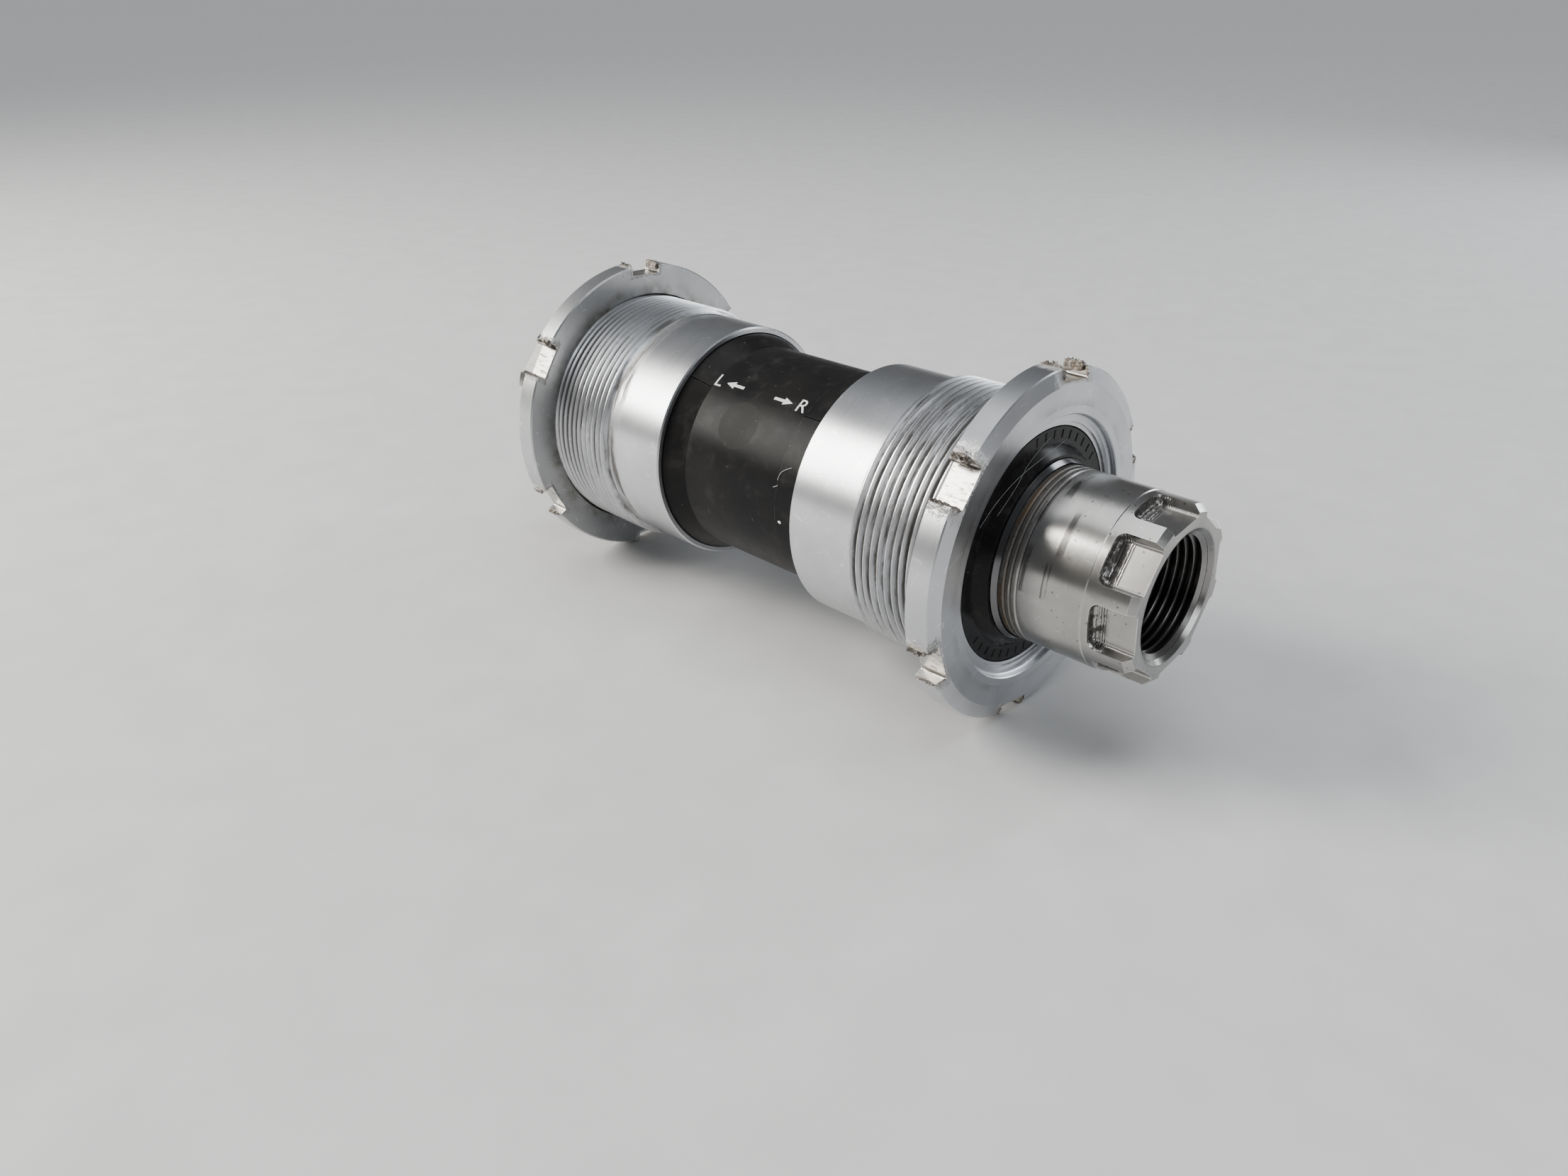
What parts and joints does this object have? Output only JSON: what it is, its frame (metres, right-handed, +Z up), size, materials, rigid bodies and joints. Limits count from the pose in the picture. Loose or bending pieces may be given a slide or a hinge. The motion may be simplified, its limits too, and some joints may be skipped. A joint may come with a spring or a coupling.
{
  "type": "bottom bracket",
  "caption": "Splined hollow-spindle bottom bracket with flanged cups, a notched lock ring, a central sleeve, and needle and ball bearings.",
  "frame": {"origin": "middle of the spindle on its axis, which is also the middle of the frame shell", "axes": "+Y along the spindle towards the left side of the bicycle, +X forward, +Z up"},
  "size_m": [0.044, 0.1094, 0.0438],
  "materials": {
    "cup_alloy": "satin, silver anodised, burred at the notches",
    "ring_alloy": "satin, silver anodised",
    "spindle_steel": "ground and nickel-plated, with scuffs and turned lines",
    "bearing_steel": "ground and polished",
    "cage_steel": "pressed sheet",
    "cage_nylon": "moulded",
    "spring_steel": "blackened",
    "sleeve_plastic": "moulded, scuffed",
    "cover_plastic": "moulded, slightly glossy",
    "seal_rubber": "oily black"
  },
  "bodies": {
    "fixed_cup": {"right_cup": "cup_alloy", "inner_sleeve": "sleeve_plastic", "right_needle_race": "bearing_steel", "right_ball_race": "bearing_steel", "right_retaining_ring": "spring_steel", "right_dust_cover": "cover_plastic", "right_seal": "seal_rubber", "right_o_ring": "seal_rubber", "left_o_ring": "seal_rubber"},
    "adjustable_cup": {"left_cup": "cup_alloy", "left_needle_race": "bearing_steel", "left_ball_race": "bearing_steel", "left_retaining_ring": "spring_steel", "left_dust_cover": "cover_plastic", "left_seal": "seal_rubber"},
    "lock_ring": {"lock_ring": "ring_alloy"},
    "spindle": {"spindle": "spindle_steel", "right_cone": "bearing_steel", "left_cone": "bearing_steel"},
    "right_needle_set": {"right_needle_cage": "cage_nylon", "right_needles": "bearing_steel"},
    "left_needle_set": {"left_needle_cage": "cage_nylon", "left_needles": "bearing_steel"},
    "right_ball_set": {"right_ball_cage": "cage_steel", "right_balls": "bearing_steel"},
    "left_ball_set": {"left_ball_cage": "cage_steel", "left_balls": "bearing_steel"}
  },
  "joints": [
    {"name": "spindle_spin", "type": "hinge", "parent": "fixed_cup", "child": "spindle", "pos_m": [0, 0, 0], "axis": [0, 1, 0], "continuous": true},
    {"name": "left_cup_turn", "type": "hinge", "parent": "fixed_cup", "child": "adjustable_cup", "pos_m": [0, 0.034, 0], "axis": [0, 1, 0], "continuous": true},
    {"name": "lock_ring_turn", "type": "hinge", "parent": "adjustable_cup", "child": "lock_ring", "pos_m": [0, 0.03595, 0], "axis": [0, 1, 0], "range_deg": [-360, 0]},
    {"name": "right_needle_orbit", "type": "hinge", "parent": "fixed_cup", "child": "right_needle_set", "pos_m": [0, -0.0227, 0], "axis": [0, 1, 0], "continuous": true},
    {"name": "left_needle_orbit", "type": "hinge", "parent": "adjustable_cup", "child": "left_needle_set", "pos_m": [0, 0.0227, 0], "axis": [0, 1, 0], "continuous": true},
    {"name": "right_ball_orbit", "type": "hinge", "parent": "fixed_cup", "child": "right_ball_set", "pos_m": [0, -0.0314, 0], "axis": [0, 1, 0], "continuous": true},
    {"name": "left_ball_orbit", "type": "hinge", "parent": "adjustable_cup", "child": "left_ball_set", "pos_m": [0, 0.0314, 0], "axis": [0, 1, 0], "continuous": true}
  ],
  "couplings": [
    {"joint": "right_needle_orbit", "follows": "spindle_spin", "ratio": 0.46234},
    {"joint": "left_needle_orbit", "follows": "spindle_spin", "ratio": 0.46234},
    {"joint": "right_ball_orbit", "follows": "spindle_spin", "ratio": 0.46148},
    {"joint": "left_ball_orbit", "follows": "spindle_spin", "ratio": 0.46148}
  ]
}
